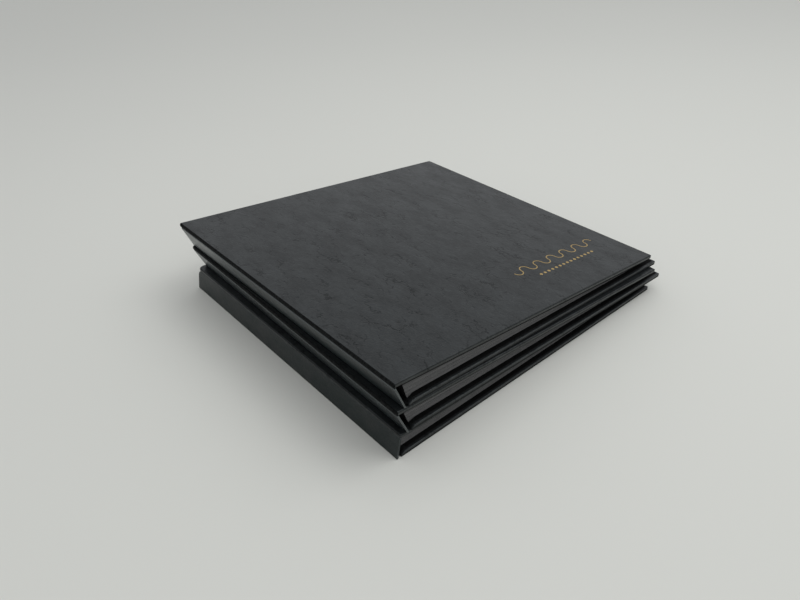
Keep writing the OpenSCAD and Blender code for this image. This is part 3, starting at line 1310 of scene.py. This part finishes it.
@dataclass(frozen=True)
class FoldJoint:
    """The doubled leatherette inside a fold, which bends as the cover opens.

    Args:
        album: the album.
        side: which cover the fold joins to the spine.
        thick: thickness of the leatherette.
        reach: distance of its middle from the fold's axis.
        along_strip: distances from the axis at which it leaves the strip.
        along_cover: distances from the axis at which it meets the cover.
        under_strip: distance of its middle under the line between the folds.
        over_cover: the same over the line along the cover, at the back and the front fold.
        steps: number of steps round the bend.
        clear: distance from its ends to the covers' ends.
    """

    album: Album
    side: Side
    thick: float = 0.3
    reach: float = 1.0
    along_strip: tuple[float, float] = (3.4, 2.2)
    along_cover: tuple[float, float] = (1.9, 3.0)
    under_strip: float = 0.72
    over_cover: tuple[float, float] = (0.55, 0.495)
    steps: int = 8
    clear: float = 1.2

    def path(self) -> list[Vector]:
        """Points from the spine strip's inner face, round the fold, to the cover's edge.

        Returns:
            The points, in the album's frame.
        """
        front = self.side is Side.FRONT
        strip = self.album.spine_run().normalized()
        inward = Vector((strip.z, 0.0, -strip.x)) * self.under_strip
        wedge = self.album.wedge()
        if front:
            axis, strip = self.album.front_axis(), -strip
            cover = Vector((math.cos(wedge), 0.0, -math.sin(wedge)))
            face = Vector((-math.sin(wedge), 0.0, -math.cos(wedge)))
        else:
            axis, cover, face = self.album.back_axis(), Vector((1.0, 0.0, 0.0)), UP
        corner = axis + (inward.normalized() + face).normalized() * self.reach
        face = face * self.over_cover[front]
        first, start = (axis + strip * far + inward for far in self.along_strip)
        end, last = (axis + cover * far + face for far in self.along_cover)
        shares = [i / self.steps for i in range(self.steps + 1)]
        bend = [start * (1 - t) ** 2 + corner * 2 * t * (1 - t) + end * t**2 for t in shares]
        return [first, *bend, last]

    def build(self) -> list[Piece]:
        """Makes the sheet in its place and dresses it.

        Returns:
            The sheet, as a list.
        """
        path = self.path()
        obj = sheet_along(
            self.album.piece(f"{self.side.value}_joint"),
            path,
            CASE.height - 2 * self.clear,
            self.thick,
        )
        soften(obj)
        # Shade is painted over the whole joint, which lies in the fold's hollow: nearly black and
        # barely shiny.
        write_attribute(obj, "matt", lambda p: 1.0)
        place = self.album.base() @ Matrix.Translation((0.0, self.clear, 0.0))
        put(obj, place)
        SHADED_SPINE_LEATHERETTE.dress(obj)
        self.album.piece("spine")
        self.album.piece(f"{self.side.value}_cover")
        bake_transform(obj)
        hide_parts(self.album.piece(f"{self.side.value}_fold"))
        return [obj]


@dataclass(frozen=True)
class PageBlock:
    """The leaves: bundles of black card, thick at the stub, with clear pocket strips.

    Args:
        album: the album.
        sheets: number of sheets that show at a leaf's edges.
        recess: depth of a leaf's faces under its bounds, which the pocket strips fill.
        ragged: how unevenly the sheets' edges lie.
        offset: distance between two leaves in the streaks of the cut edges.
        guards: number of guard strips that hang into the back fold.
        guard_ragged: how unevenly they end at the heel.
        guard_drop: the share of the drop that is left there.
        guard_level: where they begin in the streaks.
        strips: number of pocket strips on a face.
        strip_height: height of a pocket strip.
        strip_thick: thickness of a pocket strip.
        strip_edge: rounding of its edges.
        margin: distance from the strips' ends to the stub; half as much to the fore-edge.
        first: distance from the leaf's tail to the first strip.
        spare: length of the leaf that the strips' even pitch leaves out.
        upright: the most that a cut edge's normal rises or falls.
        stubward: a normal whose x is under this is the stub's, which is card.
    """

    album: Album
    sheets: int = 6
    recess: float = 0.03
    ragged: float = 0.12
    offset: float = 3.0
    guards: int = 4
    guard_ragged: float = 0.4
    guard_drop: float = 0.05
    guard_level: float = 0.3
    strips: int = 7
    strip_height: float = 27.0
    strip_thick: float = 0.025
    strip_edge: float = 0.008
    margin: float = 12.0
    first: float = 4.0
    spare: float = 6.0
    upright: float = 0.7
    stubward: float = -0.5

    def build(self) -> list[Piece]:
        """Makes every leaf and dresses the endleaf.

        Returns:
            The pieces.
        """
        pieces = [BLACK_CARD.dress(self.album.node("endleaf"))]
        rng = random.Random(self.album.name)
        for number in range(1, CASE.leaves + 1):
            leaf = self.leaf(number, rng)
            pockets = self.pockets(number)
            body = self.album.piece(f"leaf_body_{number}")
            for obj in (leaf, pockets):
                put(obj, self.album.base())
                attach(obj, body)
            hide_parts(self.album.piece(f"leaf_{number}"))
            pieces += [leaf, pockets]
        return pieces

    def corner(self, share: float, fore: bool, lift: float) -> Vector:
        """A corner of the block's side: its stub or fore-edge end at a level.

        Args:
            share: the level, from 0 at the block's foot to 1 at its top.
            fore: whether it is the fore-edge end.
            lift: height added to it.

        Returns:
            The corner, in the album's frame.
        """
        stub = self.album.stub_x(self.album.leaf_z(share, 0.0))
        x = stub + CASE.leaf if fore else stub + self.album.tuck * share
        return Vector((x, 0.0, self.album.leaf_z(share, x) + lift))

    def wedge(
        self,
        name: str,
        corners: Sequence[Vector],
        levels: Sequence[float],
        foot: float,
        head: float,
    ) -> Piece:
        """Makes a small block and moves its corners to a wedge, which lies wholly above it.

        Args:
            name: the piece's name.
            corners: low stub, low fore-edge, high stub and high fore-edge.
            levels: the level of each corner in the streaks of the cut edges.
            foot: its lowest y.
            head: its highest y.

        Returns:
            The wedge.
        """
        obj = add_block(name, (0.0, foot, 0.0), (1.0, head, 1.0))
        with editing(obj):
            for (x, z), goal in zip(((0, 0), (1, 0), (0, 1), (1, 1)), corners):
                pick(
                    obj, Pick.POINTS,
                    lambda c, x=x, z=z: math.hypot(c[0].x - x, c[0].z - z) < NEAR,
                )
                bpy.ops.transform.translate(value=(goal.x - x, 0.0, goal.z - z))

        def level(point: Vector) -> float:
            """The level of the corner that a point lies at."""
            return min(zip(corners, levels), key=lambda e: (e[0].xz - point.xz).length)[1]

        write_attribute(obj, "level", level)
        return obj

    def leaf(self, number: int, rng: random.Random) -> Piece:
        """Makes one leaf of several sheets, whose edges don't quite line up.

        Args:
            number: the leaf, from 1 at the foot.
            rng: the source of the unevenness.

        Returns:
            The leaf, in the album's frame.
        """
        parts = []
        for sheet in range(self.sheets):
            levels = [(number - 1 + (sheet + i) / self.sheets) / CASE.leaves for i in (0, 1)]
            lifts = [0.0, 0.0]
            if sheet == 0:
                lifts[0] = self.recess
            if sheet == self.sheets - 1:
                lifts[1] = -CASE.gap - self.recess
            corners = [
                self.corner(level, fore, lift)
                for level, lift in zip(levels, lifts)
                for fore in (False, True)
            ]
            tuck = rng.uniform(0.0, self.ragged)
            for corner in (corners[1], corners[3]):
                corner.x -= tuck
            foot = CASE.square + rng.uniform(0.0, self.ragged)
            head = CASE.height - CASE.square - rng.uniform(0.0, self.ragged)
            low, high = ((sheet + i) / self.sheets + number * self.offset for i in (0, 1))
            streaks = (low, low, high, high)
            parts.append(self.wedge(f"sheet_{sheet}", corners, streaks, foot, head))
        if number == 1 and self.album.drop:
            parts += self.guard(rng)
        obj = joined(self.album.piece(f"leaf_{number}_sheets"), parts)
        # Depth under the cover's inside, which the cut edges' painted shade reads.
        write_attribute(obj, "under", lambda p: self.album.leaf_z(1.0, p.x) - p.z)
        LEAF_CARD.dress(obj)
        obj.data.materials.append(CUT_EDGES.material())
        with editing(obj):
            pick(obj, Pick.FACES, self.on_edge)
            obj.active_material_index = 1
            bpy.ops.object.material_slot_assign()
        return obj

    def guard(self, rng: random.Random) -> list[Piece]:
        """Makes the guard strips under the lowest leaf, which hang into the back fold.

        Args:
            rng: the source of the unevenness.

        Returns:
            The strips, in the album's frame.
        """
        strips = []
        top = self.corner(0.0, False, self.recess).z
        for strip in range(self.guards):
            ends = []
            for edge in (strip, strip + 1):
                under = self.album.drop * (1 - edge / self.guards)
                heel = CASE.heel - rng.uniform(0.0, self.guard_ragged)
                ends += [
                    Vector((self.album.stub_x(top - under), 0.0, top - under)),
                    Vector((heel, 0.0, top - self.guard_drop * under)),
                ]
            foot = CASE.square + rng.uniform(0.0, self.ragged)
            low, high = ((strip + i) / self.guards + self.guard_level for i in (0, 1))
            streaks = (low, high, high, high)
            part = self.wedge(f"guard_{strip}", ends, streaks, foot, CASE.height - foot)
            strips.append(part)
        return strips

    def on_edge(self, corners: list[Vector]) -> bool:
        """Whether a face is one of a leaf's cut edges, and not its front, its back or its stub."""
        normal = (corners[1] - corners[0]).cross(corners[2] - corners[1]).normalized()
        return abs(normal.z) < self.upright and normal.x > self.stubward

    def pockets(self, number: int) -> Piece:
        """Makes the clear strips on both faces of one leaf.

        Args:
            number: the leaf, from 1 at the foot.

        Returns:
            The strips, in the album's frame.
        """
        parts = []
        pitch = (CASE.height - 2 * CASE.square - self.spare) / self.strips
        for share, out in (((number - 1) / CASE.leaves, -1.0), (number / CASE.leaves, 1.0)):
            lift = self.recess if out < 0 else -CASE.gap - self.recess
            stub, fore = (self.corner(share, far, lift) for far in (False, True))
            slope = math.atan2(fore.z - stub.z, fore.x - stub.x)
            face = Matrix.Translation(stub) @ Matrix.Rotation(-slope, 4, "Y")
            low, high = sorted((0.0, out * self.strip_thick))
            corner = (CASE.leaf - self.margin / 2, self.strip_height, high)
            pattern = add_block("strip", (self.margin, 0.0, low), corner)
            with editing(pattern):
                bpy.ops.mesh.select_all(action="SELECT")
                bpy.ops.mesh.bevel(offset=self.strip_edge)
            for row in range(self.strips):
                strip = pattern.copy()
                strip.data = pattern.data.copy()
                bpy.context.scene.collection.objects.link(strip)
                choose(strip)
                foot = CASE.square + self.first + row * pitch
                strip.matrix_world = face @ Matrix.Translation((0.0, foot, 0.0))
                bpy.ops.object.transform_apply()
                parts.append(strip)
            bpy.data.objects.remove(pattern)
        obj = joined(self.album.piece(f"leaf_{number}_pockets"), parts)
        FILM.dress(obj)
        return obj


@dataclass(frozen=True)
class Lamp:
    """A square lamp that shines on the middle of the stack.

    Args:
        name: its name.
        place: where it hangs, in metres.
        size: its side, in metres.
        power: its power, in watts.
    """

    name: str
    place: tuple[float, float, float]
    size: float
    power: float

    def hang(self) -> None:
        """Adds the lamp to the scene."""
        data = bpy.data.lights.new(self.name, "AREA")
        data.size = self.size
        data.energy = self.power
        lamp = bpy.data.objects.new(self.name, data)
        bpy.context.scene.collection.objects.link(lamp)
        lamp.location = self.place
        lamp.rotation_euler = (-Vector(self.place)).to_track_quat("-Z", "Y").to_euler()


@dataclass(frozen=True)
class Studio:
    """The table, the lamps and the camera.

    Args:
        table: side of the table, in metres.
        sky: colour of the surround.
        levels: its strength at the view's left and right.
        lamps: a broad lamp high on the right, and a weak one overhead.
        eye: the camera's place, in millimetres.
        look: the direction that it looks in.
        side: the direction of the view's right side.
        lens: focal length for a sensor 36 mm wide.
        clip: the nearest and the farthest that the camera sees, in metres.
    """

    table: float = 12.0
    sky: str = "#fbfcff"
    levels: tuple[float, float] = (0.527, 0.713)
    lamps: tuple[Lamp, ...] = (
        Lamp("key", (0.7, -0.6, 1.35), 1.1, 6.4),
        Lamp("top", (0.0, -0.05, 0.8), 0.8, 1.4),
    )
    eye: tuple[float, float, float] = (-289.03, -313.02, 288.59)
    look: tuple[float, float, float] = (0.53237, 0.62167, -0.57455)
    side: tuple[float, float, float] = (0.75263, -0.65828, -0.01490)
    lens: float = 30.34
    clip: tuple[float, float] = (0.01, 50.0)

    def build(self) -> None:
        """Makes the table, the world, the lamps and the camera."""
        clear_selection()
        bpy.ops.mesh.primitive_plane_add(size=self.table)
        table = named("table")
        SWEEP.dress(table)
        self.surround()
        for lamp in self.lamps:
            lamp.hang()
        self.camera()
        bpy.context.scene.view_settings.view_transform = "Standard"

    def surround(self) -> None:
        """An even pale surround, a little stronger at the view's right."""
        world = bpy.data.worlds.new("surround")
        bpy.context.scene.world = world
        world.use_nodes = True
        add = partial(add_node, world.node_tree)
        ray = add("TexCoord", out="Generated")
        across = add("VectorMath", {0: ray, 1: self.side}, "Value", operation="DOT_PRODUCT")
        left, right = self.levels
        level = add("MapRange", {0: across, 1: -1.0, 3: left, 4: right})
        feed(world.node_tree.nodes["Background"], {"Color": linear(self.sky), "Strength": level})

    def camera(self) -> None:
        """The camera, at the solved place and angle."""
        data = bpy.data.cameras.new("camera")
        data.lens = self.lens
        data.clip_start, data.clip_end = self.clip
        camera = bpy.data.objects.new("camera", data)
        bpy.context.scene.collection.objects.link(camera)
        look = Vector(self.look).normalized()
        top = Vector(self.side).cross(look).normalized()
        turn = Matrix((look.cross(top), top, -look)).transposed().to_4x4()
        camera.matrix_world = Matrix.Translation(Vector(self.eye) * MM) @ turn
        bpy.context.scene.camera = camera


def main() -> None:
    """Builds the albums and the studio, and reports each piece."""
    logging.basicConfig(level=logging.INFO, format="%(name)s: %(message)s")
    clear_selection()
    for album in (BOTTOM, MIDDLE, TOP):
        covers = [CoverAssembly(album, side) for side in Side]
        folds = [FoldJoint(album, side) for side in Side]
        for part in (*covers, SpineAssembly(album), *folds, PageBlock(album)):
            for piece in part.build():
                log.info("%s", piece.name)
    Studio().build()
    clear_selection()


if __name__ == "__main__":
    main()
